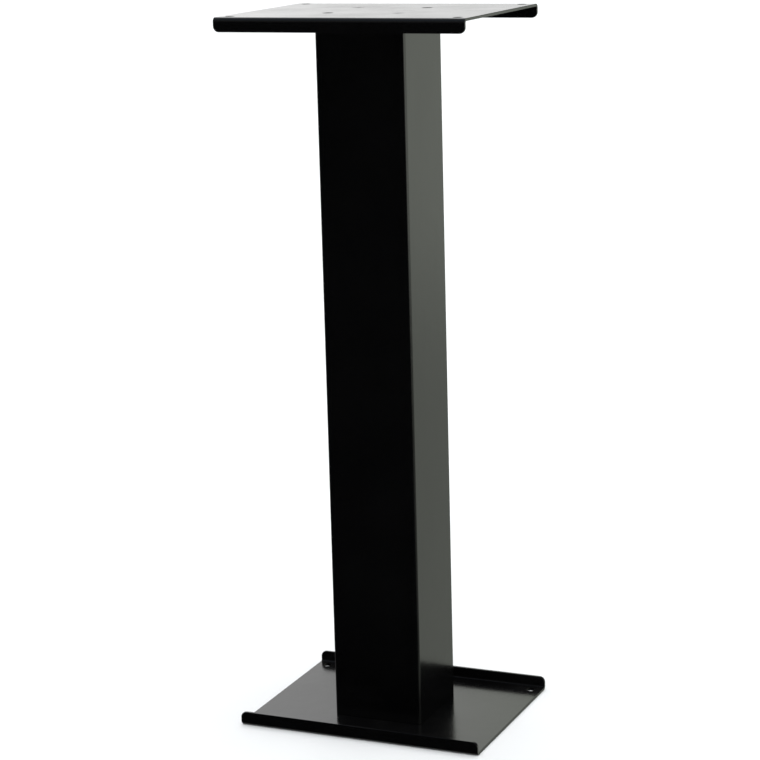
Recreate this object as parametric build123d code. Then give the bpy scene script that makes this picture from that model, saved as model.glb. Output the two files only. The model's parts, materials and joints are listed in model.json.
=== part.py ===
from build123d import *
import math
import os

# Pedestal stand in steel: a square column with one flanged plate at each end.
# Frame: origin at the centre of the base plate's underside, +Z up, front is -Y.
# The object is symmetric about X = 0 and about Y = 0. All sizes in millimetres.

# Driving dimensions of the whole stand
HEIGHT = 774.7             # floor to top face, 30.5 in
PLATE_WIDTH = 279.4        # along X, 11 in
PLATE_DEPTH = 215.9        # along Y, 8.5 in

# Flanged plates: the top one and the base one are the same part, turned over
SHEET = 3.0                # 11 gauge sheet
FLANGE_HEIGHT = 15.2       # flat outer face to the flange's free edge
BEND_RADIUS = 1.6          # inside radius of the two bends
FLANGE_CORNER_RADIUS = 6.35
SHEET_EDGE_RADIUS = 0.4    # coated sheet edges are slightly round
MOUNT_SPACING_X = 254.0    # corner holes, 10 in apart
MOUNT_SPACING_Y = 187.3    # corner holes, 7 3/8 in apart
MOUNT_HOLE_DIAMETER = 10.3  # 13/32 in, for 3/8 in bolts

# Column: square tube
COLUMN_SIDE = 101.6        # 4 in
COLUMN_WALL = 2.0
COLUMN_CORNER_RADIUS = 3.0
COLUMN_END_BREAK = 0.4     # chamfer round each cut end

# End plates, welded inside the column flush with its ends
END_PLATE_THICKNESS = 3.0
END_PLATE_GAP = 0.15       # between the end plate's edge and the tube wall
END_PLATE_OPENING = 38.0   # drain and hanging hole for coating
PILOT_HOLE_DIAMETER = 8.4  # takes the weld nut's pilot

# M6 x 12 flat-head screws with a cross recess, on a square pattern
SCREW_SPACING = 79.4       # 3 1/8 in
SCREW_DIAMETER = 6.0
SCREW_LENGTH = 12.0
SCREW_HEAD_DIAMETER = 11.3
SCREW_HEAD_RIM = 0.3       # straight rim above the 90 degree cone
SCREW_HEAD_SINK = 0.05     # head's face below the plate's outer face
SCREW_TIP_CHAMFER = 0.8
RECESS_LENGTH = 6.2        # across the cross at the head's face
RECESS_FOOT_LENGTH = 2.4   # across the cross at its bottom
RECESS_WIDTH = 1.2
RECESS_DEPTH = 2.6
COUNTERSINK_PLAY = 0.05    # between the head's cone and the countersink
SCREW_HOLE_DIAMETER = 6.6  # clearance hole below the countersink

# M6 weld nuts
NUT_ACROSS_FLATS = 11.0
NUT_HEIGHT = 5.0
NUT_BORE_DIAMETER = 6.1
NUT_CHAMFER = 0.6
NUT_PILOT_DIAMETER = 8.0
NUT_PILOT_HEIGHT = 0.8     # reaches down into the end plate

# Clearance added to a cutting shape so that it passes right through a face
CUT_MARGIN = 1.0

COLUMN_LENGTH = HEIGHT - 2 * SHEET
BOTTOM_ALIGN = (Align.CENTER, Align.CENTER, Align.MIN)


def grid(spacing_x, spacing_y):
    """Four (side name, x, y) places of a rectangular hole pattern."""
    places = []
    for y_name, y in (("front", -spacing_y / 2), ("back", spacing_y / 2)):
        for x_name, x in (("left", -spacing_x / 2), ("right", spacing_x / 2)):
            places.append((f"{y_name}_{x_name}", x, y))
    return places


def at_top(shape):
    """Turn a shape made for the foot of the stand over, on to its head."""
    return Pos(0, 0, HEIGHT) * (Rot(180, 0, 0) * shape)


def bent_sheet():
    """Flat plate with a front and a back flange bent up along X."""
    block = Box(PLATE_WIDTH, PLATE_DEPTH, FLANGE_HEIGHT, align=BOTTOM_ALIGN)
    tray_depth = PLATE_DEPTH - 2 * SHEET
    tray = Pos(0, 0, SHEET) * Box(
        PLATE_WIDTH + CUT_MARGIN, tray_depth, FLANGE_HEIGHT, align=BOTTOM_ALIGN
    )
    sheet = block - tray
    bend_lines = sheet.edges().filter_by(Axis.X)
    sheet = fillet(bend_lines.group_by(Axis.Z)[0], BEND_RADIUS + SHEET)
    inner_lines = sheet.edges().filter_by(Axis.X).filter_by(
        lambda edge: abs(edge.center().Z - SHEET) < SHEET_EDGE_RADIUS
    )
    sheet = fillet(inner_lines, BEND_RADIUS)
    flange_corners = sheet.edges().filter_by(Axis.Y).group_by(Axis.Z)[-1]
    sheet = fillet(flange_corners, FLANGE_CORNER_RADIUS)
    # The cut outline is one smooth loop on each face, so it rounds from its flange edges
    flange_edges = sheet.edges().filter_by(Axis.X).group_by(Axis.Z)[-1]
    return fillet(flange_edges, SHEET_EDGE_RADIUS)


def countersunk_hole(x, y):
    """Clearance hole right through a sheet, with a 90 degree cone at the face at Z = 0."""
    face_radius = SCREW_HEAD_DIAMETER / 2 + SCREW_HEAD_RIM + SCREW_HEAD_SINK + COUNTERSINK_PLAY
    mouth_radius = face_radius + CUT_MARGIN
    depth = SHEET + 2 * CUT_MARGIN
    cone = Cone(mouth_radius, mouth_radius - depth, depth, align=BOTTOM_ALIGN)
    hole = Cylinder(SCREW_HOLE_DIAMETER / 2, depth, align=BOTTOM_ALIGN)
    return Pos(x, y, -CUT_MARGIN) * (cone + hole)


def flanged_plate():
    """Base plate as it lies on the floor: flanges up, countersinks underneath."""
    plate = bent_sheet()
    for _, x, y in grid(MOUNT_SPACING_X, MOUNT_SPACING_Y):
        plate -= Pos(x, y, 0) * Cylinder(MOUNT_HOLE_DIAMETER / 2, 4 * SHEET)
    for _, x, y in grid(SCREW_SPACING, SCREW_SPACING):
        plate -= countersunk_hole(x, y)
    return plate


def square_column():
    """Square tube standing on the base plate and carrying the top plate."""
    inner_side = COLUMN_SIDE - 2 * COLUMN_WALL
    inner_radius = COLUMN_CORNER_RADIUS - COLUMN_WALL
    section = RectangleRounded(COLUMN_SIDE, COLUMN_SIDE, COLUMN_CORNER_RADIUS)
    section -= RectangleRounded(inner_side, inner_side, inner_radius)
    tube = Pos(0, 0, SHEET) * extrude(section, COLUMN_LENGTH)
    end_edges = ShapeList()
    for end in tube.faces().filter_by(Axis.Z):
        end_edges += end.outer_wire().edges()
    return chamfer(end_edges, COLUMN_END_BREAK)


def end_plate():
    """Square plate inside the foot of the column, flush with its end."""
    side = COLUMN_SIDE - 2 * COLUMN_WALL - 2 * END_PLATE_GAP
    section = RectangleRounded(side, side, COLUMN_CORNER_RADIUS - COLUMN_WALL)
    section -= Circle(END_PLATE_OPENING / 2)
    for _, x, y in grid(SCREW_SPACING, SCREW_SPACING):
        section -= Pos(x, y) * Circle(PILOT_HOLE_DIAMETER / 2)
    return Pos(0, 0, SHEET) * extrude(section, END_PLATE_THICKNESS)


def cross_recess():
    """Tapered cross cut down into a screw head whose face is at Z = 0."""
    outline = Polyline(
        (-RECESS_LENGTH / 2, 0),
        (RECESS_LENGTH / 2, 0),
        (RECESS_FOOT_LENGTH / 2, RECESS_DEPTH),
        (-RECESS_FOOT_LENGTH / 2, RECESS_DEPTH),
        close=True,
    )
    wing = extrude(Plane.XZ * make_face(outline), RECESS_WIDTH / 2, both=True)
    return wing + Rot(0, 0, 90) * wing


def flat_head_screw(x, y):
    """Screw driven up through the base plate, head sunk just below its underside."""
    head_radius = SCREW_HEAD_DIAMETER / 2
    shank_radius = SCREW_DIAMETER / 2
    cone_height = head_radius - shank_radius
    rim = Cylinder(head_radius, SCREW_HEAD_RIM, align=BOTTOM_ALIGN)
    cone = Pos(0, 0, SCREW_HEAD_RIM) * Cone(
        head_radius, shank_radius, cone_height, align=BOTTOM_ALIGN
    )
    shank = Cylinder(shank_radius, SCREW_LENGTH, align=BOTTOM_ALIGN)
    shank = chamfer(shank.edges().sort_by(Axis.Z)[-1], SCREW_TIP_CHAMFER)
    screw = rim + cone + shank - cross_recess()
    return Pos(x, y, SCREW_HEAD_SINK) * screw


def weld_nut(x, y):
    """Hexagon nut welded to the inner face of the end plate."""
    corner_radius = NUT_ACROSS_FLATS / 2 / math.cos(math.pi / 6)
    hexagon = extrude(RegularPolygon(corner_radius, 6), NUT_HEIGHT)
    straight_height = NUT_HEIGHT - NUT_CHAMFER
    envelope = Cylinder(corner_radius, straight_height, align=BOTTOM_ALIGN)
    envelope += Pos(0, 0, straight_height) * Cone(
        corner_radius, corner_radius - NUT_CHAMFER, NUT_CHAMFER, align=BOTTOM_ALIGN
    )
    pilot = Pos(0, 0, -NUT_PILOT_HEIGHT) * Cylinder(
        NUT_PILOT_DIAMETER / 2, NUT_PILOT_HEIGHT, align=BOTTOM_ALIGN
    )
    nut = (hexagon & envelope) + pilot
    nut -= Cylinder(NUT_BORE_DIAMETER / 2, 4 * NUT_HEIGHT)
    return Pos(x, y, SHEET + END_PLATE_THICKNESS) * nut


def build_nodes():
    """All sub-parts by node name, in the frame of the stand."""
    plate = flanged_plate()
    welded_plate = end_plate()
    nodes = {
        "base_plate": plate,
        "top_plate": at_top(plate),
        "column": square_column(),
        "bottom_end_plate": welded_plate,
        "top_end_plate": at_top(welded_plate),
    }
    for place, x, y in grid(SCREW_SPACING, SCREW_SPACING):
        nodes[f"base_screw_{place}"] = flat_head_screw(x, y)
        nodes[f"base_weld_nut_{place}"] = weld_nut(x, y)
        # Turning over about X also swaps front and back, so Y changes sign here
        nodes[f"top_screw_{place}"] = at_top(flat_head_screw(x, -y))
        nodes[f"top_weld_nut_{place}"] = at_top(weld_nut(x, -y))
    return nodes


os.makedirs("parts", exist_ok=True)
for name, shape in build_nodes().items():
    export_step(shape, f"parts/{name}.step")
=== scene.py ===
"""Looks of the display plinth: coat, screws and nuts on the CAD frame, and a plain pale studio."""
import json
import math

import bpy
from mathutils import Matrix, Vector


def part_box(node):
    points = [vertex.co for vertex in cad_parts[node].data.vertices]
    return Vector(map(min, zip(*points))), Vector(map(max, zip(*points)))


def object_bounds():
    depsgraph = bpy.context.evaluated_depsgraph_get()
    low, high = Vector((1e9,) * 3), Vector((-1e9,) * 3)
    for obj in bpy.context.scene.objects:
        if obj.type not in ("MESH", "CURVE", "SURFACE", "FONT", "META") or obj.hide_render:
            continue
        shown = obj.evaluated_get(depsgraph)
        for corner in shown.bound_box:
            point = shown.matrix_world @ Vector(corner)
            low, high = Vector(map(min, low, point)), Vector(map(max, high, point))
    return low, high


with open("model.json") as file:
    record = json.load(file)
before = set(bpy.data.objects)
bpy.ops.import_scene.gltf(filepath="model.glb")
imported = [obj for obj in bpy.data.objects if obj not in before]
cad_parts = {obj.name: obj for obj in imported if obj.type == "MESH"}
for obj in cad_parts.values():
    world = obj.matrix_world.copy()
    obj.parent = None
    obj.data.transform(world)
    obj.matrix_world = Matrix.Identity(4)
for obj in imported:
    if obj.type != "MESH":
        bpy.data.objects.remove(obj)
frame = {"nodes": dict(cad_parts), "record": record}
cad_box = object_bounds()

# Camera: where it stands round the object, how it is turned, and its lens
CAMERA_AZIMUTH = math.radians(23.40)      # round +Z from the front
CAMERA_DISTANCE = 2.4891                  # from the column's axis, along the floor
CAMERA_HEIGHT = 0.9389
CAMERA_HEADING = math.radians(23.586)
CAMERA_TILT_DOWN = math.radians(12.733)
CAMERA_ROLL = math.radians(-1.521)
LENS_MM = 111.07
SENSOR_MM = 36.0

# Square pattern of the screws and nuts about the column's axis, read from one of them
screw_low, screw_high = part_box("top_screw_back_right")
SCREW_OFFSET = (screw_low.x + screw_high.x) / 2

# Powder coat
COAT_DARK = (0.0012, 0.0012, 0.0014, 1.0)
COAT_PALE = (0.0026, 0.0026, 0.0028, 1.0)
COAT_ROUGHNESS = 0.15
COAT_CLOUDINESS = 0.015                   # how far the roughness wanders either way
COAT_GRAIN = 0.03
COAT_IOR = 1.5
DUST = (0.12, 0.115, 0.105, 1.0)
DUST_COVER = 0.10
DUST_ROUGHNESS = 0.6
PATTERN_SHIFT = (0.37, 0.21, 0.13)        # between one node's pattern and the next

# Relief of the coat and the sheet below it, in metres
RIPPLE_DEPTH = 0.00045
FLOW_DEPTH = 0.00008
BROAD_PEEL_DEPTH = 0.000045
FINE_PEEL_DEPTH = 0.000010
NIB_HEIGHT = 0.000020

# Screws: two of those in the top plate have kept their gloss
POLISHED_SCREWS = ("top_screw_front_right", "top_screw_back_left")
OXIDE_DARK = (0.006, 0.006, 0.007, 1.0)
OXIDE_PALE = (0.018, 0.018, 0.020, 1.0)
OXIDE_WORN = (0.16, 0.15, 0.14, 1.0)
OXIDE_WEAR = 0.3
OXIDE_CLOUDINESS = 0.05
SCREW_RING_PITCH = 0.00022
SCREW_RING_DEPTH = 0.0000035
SCREW_CLOUD_DEPTH = 0.000010

# Weld nuts
ZINC_DARK = (0.50, 0.50, 0.49, 1.0)
ZINC_PALE = (0.66, 0.66, 0.64, 1.0)
ZINC_ROUGHNESS = (0.26, 0.40)
NUT_RING_PITCH = 0.0003
NUT_RING_DEPTH = 0.000004
SPANGLE_DEPTH = 0.00001

# Studio
FLOOR_SIZE = 60.0
FLOOR_GAP = 0.0001
FLOOR_COLOUR = (0.93, 0.93, 0.925, 1.0)
BACKGROUND = (1.0, 1.0, 1.0, 1.0)
OVERHEAD_STRENGTH = 2.42
OVERHEAD_SPREAD = math.radians(80)

# What the coat mirrors: (azimuth, brightness), with 0 behind the object, 90 at its right, 180 in front
SWEEP_GLOW = (
    (-180, 0.30), (-165, 0.06), (-115, 0.06), (-80, 0.9), (-50, 1.42), (-29, 1.40), (-23, 1.17),
    (-10, 1.13), (8, 0.4), (15, 0.04), (32, 0.04), (50, 0.8), (90, 1.0), (135, 1.4), (180, 0.30),
)
UPPER_GLOW = (
    (-180, 0.40), (-160, 0.15), (-110, 0.15), (-80, 0.9), (-50, 1.35), (-28, 1.35), (-19, 0.86),
    (-8, 0.66), (5, 0.2), (13, 0.01), (32, 0.01), (50, 0.3), (90, 0.5), (135, 0.5), (180, 0.40),
)
FLOOR_GLOW = (
    (-180, 0.0), (-130, 0.0), (-90, 0.2), (-40, 0.2), (-5, 0.6), (22, 0.76), (50, 1.0),
    (90, 1.8), (125, 2.0), (150, 0.3), (165, 0.0), (180, 0.0),
)
STEEP_GLOW = (
    (-180, 0.0), (-130, 0.0), (-90, 0.13), (-40, 0.13), (-5, 0.40), (22, 0.50), (50, 0.36),
    (90, 0.30), (125, 0.12), (150, 0.03), (165, 0.0), (180, 0.0),
)
DIM_CEILING = (0.22, 0.26, 0.31, 1.0)
BACK_CEILING = (0.78, 0.80, 0.84, 1.0)
GREEN_TINT = (1.0, 1.06, 0.94)

# Where one of these passes into the next: sines of the elevation, the ceiling's depth, and azimuths
STEEP_TO_FLOOR = (-0.225, -0.135)
FLOOR_TO_SWEEP = (-0.03, 0.03)
SWEEP_TO_UPPER = (0.12, 0.30)
UPPER_TO_CEILING = (0.40, 0.75)
DIM_TO_BACK_CEILING = (-0.1, 0.4)
GREEN_COMES_IN = (-25, -19)


class Graph:
    """Adds nodes to one node tree and joins them."""

    def __init__(self, tree):
        self.tree = tree
        tree.nodes.clear()

    def add(self, kind, inputs=None, **settings):
        node = self.tree.nodes.new(kind)
        for key, value in settings.items():
            setattr(node, key, value)
        for key, value in (inputs or {}).items():
            self.feed(node.inputs[key], value)
        return node

    def feed(self, socket, value):
        """Join another node's output to a socket, or set the socket's own value."""
        if isinstance(value, bpy.types.NodeSocket):
            self.tree.links.new(value, socket)
        else:
            socket.default_value = value

    def math(self, operation, first, second=0.0, third=0.0):
        node = self.add("ShaderNodeMath", {0: first, 1: second, 2: third}, operation=operation)
        return node.outputs[0]

    def noise(self, place, scale, detail=2.0, roughness=0.5):
        node = self.add(
            "ShaderNodeTexNoise",
            {"Vector": place, "Scale": scale, "Detail": detail, "Roughness": roughness},
        )
        return node.outputs["Fac"]

    def remap(self, value, low, high, to_low=0.0, to_high=1.0, smooth=False):
        node = self.add(
            "ShaderNodeMapRange",
            {"Value": value, "From Min": low, "From Max": high, "To Min": to_low, "To Max": to_high},
            interpolation_type="SMOOTHSTEP" if smooth else "LINEAR",
        )
        return node.outputs["Result"]

    def mix(self, share, first, second):
        node = self.add("ShaderNodeMix", {0: share}, data_type="RGBA")
        colours = [socket for socket in node.inputs if socket.type == "RGBA"]
        self.feed(colours[0], first)
        self.feed(colours[1], second)
        return next(socket for socket in node.outputs if socket.type == "RGBA")

    def tint(self, colour, share):
        node = self.add("ShaderNodeVectorMath", {0: colour, 1: share}, operation="MULTIPLY")
        return node.outputs[0]

    def ring(self, turn, stops):
        """Brightness round the compass, from (azimuth in degrees, brightness) stops."""
        node = self.add("ShaderNodeValToRGB", {"Fac": turn})
        ramp = node.color_ramp
        ramp.interpolation = "EASE"
        for index, (azimuth, glow) in enumerate(stops):
            place = share_of_turn(azimuth)
            stop = ramp.elements[index] if index < 2 else ramp.elements.new(place)
            stop.position = place
            stop.color = (glow, glow, glow, 1.0)
        return node.outputs["Color"]

    def bump(self, height, distance, normal=None):
        inputs = {"Height": height, "Distance": distance}
        if normal is not None:
            inputs["Normal"] = normal
        return self.add("ShaderNodeBump", inputs).outputs["Normal"]


def share_of_turn(azimuth):
    """0 to 1 for azimuths of -180 to 180 degrees."""
    return azimuth / 360 + 0.5


def new_material(name):
    material = bpy.data.materials.new(name)
    material.use_nodes = True
    graph = Graph(material.node_tree)
    shader = graph.add("ShaderNodeBsdfPrincipled")
    output = graph.add("ShaderNodeOutputMaterial")
    graph.tree.links.new(shader.outputs["BSDF"], output.inputs["Surface"])
    return material, graph, shader


def powder_coat(name, offset):
    """Satin black powder coat: orange peel over a faint sheet ripple, cloudy gloss, few nibs."""
    material, graph, shader = new_material(name)
    place = graph.add("ShaderNodeTexCoord").outputs["Object"]
    place = graph.add("ShaderNodeVectorMath", {0: place, 1: offset}, operation="ADD").outputs[0]

    clouds = graph.noise(place, 16.0, detail=4.0, roughness=0.55)
    flow = graph.noise(place, 55.0)
    ripple = graph.noise(place, 9.0, detail=1.0)
    broad_peel = graph.noise(place, 340.0, detail=1.0)
    fine_peel = graph.noise(place, 950.0)
    grain = graph.noise(place, 2400.0, detail=1.0)
    nibs = graph.remap(graph.noise(place, 620.0, detail=0.0), 0.80, 0.86)

    # Fine dust lies only on faces that look up, in the hollows of the peel
    facing = graph.add("ShaderNodeSeparateXYZ", {0: graph.add("ShaderNodeNewGeometry").outputs["Normal"]})
    upward = graph.remap(facing.outputs["Z"], 0.6, 1.0)
    hollows = graph.remap(fine_peel, 0.55, 0.35, 0.0, DUST_COVER)
    dust = graph.math("MULTIPLY", upward, graph.remap(clouds, 0.45, 0.75))
    dust = graph.math("MULTIPLY", dust, hollows)
    colour = graph.mix(clouds, COAT_DARK, COAT_PALE)
    colour = graph.mix(dust, colour, DUST)
    graph.feed(shader.inputs["Base Color"], colour)

    gloss = graph.remap(
        clouds, 0.30, 0.70, COAT_ROUGHNESS - COAT_CLOUDINESS, COAT_ROUGHNESS + COAT_CLOUDINESS
    )
    gloss = graph.math("MULTIPLY_ADD", grain, COAT_GRAIN, gloss)
    gloss = graph.math("MULTIPLY_ADD", dust, DUST_ROUGHNESS, gloss)
    graph.feed(shader.inputs["Roughness"], gloss)

    normal = graph.bump(ripple, RIPPLE_DEPTH)
    normal = graph.bump(flow, FLOW_DEPTH, normal)
    normal = graph.bump(broad_peel, BROAD_PEEL_DEPTH, normal)
    normal = graph.bump(fine_peel, FINE_PEEL_DEPTH, normal)
    normal = graph.bump(nibs, NIB_HEIGHT, normal)
    graph.feed(shader.inputs["Normal"], normal)
    shader.inputs["IOR"].default_value = COAT_IOR
    return material


def round_the_screws(graph):
    """Object coordinates, and the distance from the nearest screw axis: the four axes mirror into one."""
    place = graph.add("ShaderNodeTexCoord").outputs["Object"]
    parts = graph.add("ShaderNodeSeparateXYZ", {0: place})
    across = graph.math("SUBTRACT", graph.math("ABSOLUTE", parts.outputs["X"]), SCREW_OFFSET)
    along = graph.math("SUBTRACT", graph.math("ABSOLUTE", parts.outputs["Y"]), SCREW_OFFSET)
    squares = graph.math("ADD", graph.math("MULTIPLY", across, across), graph.math("MULTIPLY", along, along))
    return place, graph.math("SQRT", squares)


def turning_rings(graph, radius, pitch):
    return graph.math("SINE", graph.math("MULTIPLY", radius, 2 * math.pi / pitch))


def black_oxide(name, dull, metal):
    """Blackened steel screws with fine turning rings and worn high spots."""
    material, graph, shader = new_material(name)
    place, radius = round_the_screws(graph)
    rings = turning_rings(graph, radius, SCREW_RING_PITCH)
    cloud = graph.noise(place, 700.0, detail=3.0)
    wear = graph.remap(graph.noise(place, 1300.0), 0.58, 0.72)
    colour = graph.mix(cloud, OXIDE_DARK, OXIDE_PALE)
    colour = graph.mix(graph.math("MULTIPLY", wear, OXIDE_WEAR), colour, OXIDE_WORN)
    graph.feed(shader.inputs["Base Color"], colour)
    gloss = graph.remap(cloud, 0.3, 0.7, dull - OXIDE_CLOUDINESS, dull + OXIDE_CLOUDINESS)
    graph.feed(shader.inputs["Roughness"], gloss)
    normal = graph.bump(rings, SCREW_RING_DEPTH)
    normal = graph.bump(cloud, SCREW_CLOUD_DEPTH, normal)
    graph.feed(shader.inputs["Normal"], normal)
    shader.inputs["Metallic"].default_value = metal
    return material


def zinc_plate(name):
    """Bright zinc with a fine spangle and turned faces."""
    material, graph, shader = new_material(name)
    place, radius = round_the_screws(graph)
    rings = turning_rings(graph, radius, NUT_RING_PITCH)
    spangle = graph.noise(place, 900.0, detail=4.0, roughness=0.6)
    graph.feed(shader.inputs["Base Color"], graph.mix(spangle, ZINC_DARK, ZINC_PALE))
    graph.feed(shader.inputs["Roughness"], graph.remap(spangle, 0.3, 0.7, *ZINC_ROUGHNESS))
    normal = graph.bump(rings, NUT_RING_DEPTH)
    normal = graph.bump(spangle, SPANGLE_DEPTH, normal)
    graph.feed(shader.inputs["Normal"], normal)
    shader.inputs["Metallic"].default_value = 1.0
    return material


def coat_the_frame():
    """Each CAD node gets the material of its slot; every coated piece has its own stretch of the pattern."""
    slots = {entry["node"]: entry["material_slot"] for entry in frame["record"]["subparts"]}
    dull_screws = black_oxide("dull_screws", dull=0.60, metal=0.6)
    polished_screws = black_oxide("polished_screws", dull=0.20, metal=0.0)
    zinc = zinc_plate("zinc_nuts")
    for index, (node, piece) in enumerate(sorted(frame["nodes"].items())):
        slot = slots[node]
        if slot == "black_screws":
            material = polished_screws if node in POLISHED_SCREWS else dull_screws
        elif slot == "bare_steel":
            material = zinc
        else:
            material = powder_coat(f"coat_{node}", tuple(shift * index for shift in PATTERN_SHIFT))
        piece.data.materials.clear()
        piece.data.materials.append(material)


def floor():
    """Plain pale floor, matt, a hair below the object's underside so that the two never share a plane."""
    half = FLOOR_SIZE / 2
    level = cad_box[0].z - FLOOR_GAP
    mesh = bpy.data.meshes.new("floor")
    corners = [(-half, -half, level), (half, -half, level), (half, half, level), (-half, half, level)]
    mesh.from_pydata(corners, [], [(0, 1, 2, 3)])
    piece = bpy.data.objects.new("floor", mesh)
    bpy.context.scene.collection.objects.link(piece)
    material, _, shader = new_material("pale_floor")
    shader.inputs["Base Color"].default_value = FLOOR_COLOUR
    shader.inputs["Roughness"].default_value = 1.0
    shader.inputs["Specular IOR Level"].default_value = 0.0
    mesh.materials.append(material)
    piece.visible_glossy = False


def studio_world():
    """White to the camera. The coat mirrors rings of light above and below the horizon, and a ceiling."""
    world = bpy.data.worlds.new("studio")
    bpy.context.scene.world = world
    world.use_nodes = True
    graph = Graph(world.node_tree)
    direction = graph.add("ShaderNodeTexCoord").outputs["Generated"]
    parts = graph.add("ShaderNodeSeparateXYZ", {0: direction}).outputs
    height = parts["Z"]
    azimuth = graph.math("ARCTAN2", parts["X"], parts["Y"])
    turn = graph.math("MULTIPLY_ADD", azimuth, 1 / (2 * math.pi), 0.5)

    def green(glow):
        """The same light with its right-hand side faintly green."""
        share = graph.remap(turn, *map(share_of_turn, GREEN_COMES_IN), smooth=True)
        return graph.mix(share, glow, graph.tint(glow, GREEN_TINT))

    def rising(limits):
        return graph.remap(height, *limits, smooth=True)

    # The white sweep behind falls off to the right, the more so the higher it is
    level_with_eye = graph.ring(turn, SWEEP_GLOW)
    higher_up = green(graph.ring(turn, UPPER_GLOW))
    above = graph.mix(rising(SWEEP_TO_UPPER), level_with_eye, higher_up)
    ceiling = graph.mix(
        graph.remap(parts["Y"], *DIM_TO_BACK_CEILING, smooth=True), DIM_CEILING, BACK_CEILING
    )
    above = graph.mix(rising(UPPER_TO_CEILING), above, ceiling)

    # The floor is darker close to the object's foot than farther out
    farther_out = graph.ring(turn, FLOOR_GLOW)
    at_the_foot = graph.ring(turn, STEEP_GLOW)
    below = green(graph.mix(rising(STEEP_TO_FLOOR), at_the_foot, farther_out))
    glow = graph.mix(rising(FLOOR_TO_SWEEP), below, above)

    mirrored = graph.add("ShaderNodeBackground", {"Color": glow})
    plain = graph.add("ShaderNodeBackground", {"Color": BACKGROUND})
    seen = graph.add("ShaderNodeLightPath").outputs["Is Camera Ray"]
    chosen = graph.add("ShaderNodeMixShader", {0: seen, 1: mirrored.outputs[0], 2: plain.outputs[0]})
    graph.add("ShaderNodeOutputWorld", {"Surface": chosen.outputs[0]})


def overhead_light():
    """Soft even light from above for the floor, which isn't mirrored in the coat."""
    data = bpy.data.lights.new("overhead", "SUN")
    data.energy = OVERHEAD_STRENGTH
    data.angle = OVERHEAD_SPREAD
    light = bpy.data.objects.new("overhead", data)
    light.visible_glossy = False
    bpy.context.scene.collection.objects.link(light)


def camera():
    data = bpy.data.cameras.new("camera")
    data.lens = LENS_MM
    data.sensor_width = SENSOR_MM
    piece = bpy.data.objects.new("camera", data)
    turn = Matrix.Rotation(CAMERA_HEADING, 4, "Z")
    tilt = Matrix.Rotation(math.pi / 2 - CAMERA_TILT_DOWN, 4, "X")
    roll = Matrix.Rotation(CAMERA_ROLL, 4, "Z")
    place = Matrix.Translation((
        CAMERA_DISTANCE * math.sin(CAMERA_AZIMUTH),
        -CAMERA_DISTANCE * math.cos(CAMERA_AZIMUTH),
        CAMERA_HEIGHT,
    ))
    piece.matrix_world = place @ turn @ tilt @ roll
    bpy.context.scene.collection.objects.link(piece)
    bpy.context.scene.camera = piece


camera()
coat_the_frame()
floor()
studio_world()
overhead_light()
bpy.context.scene.view_settings.view_transform = "Standard"
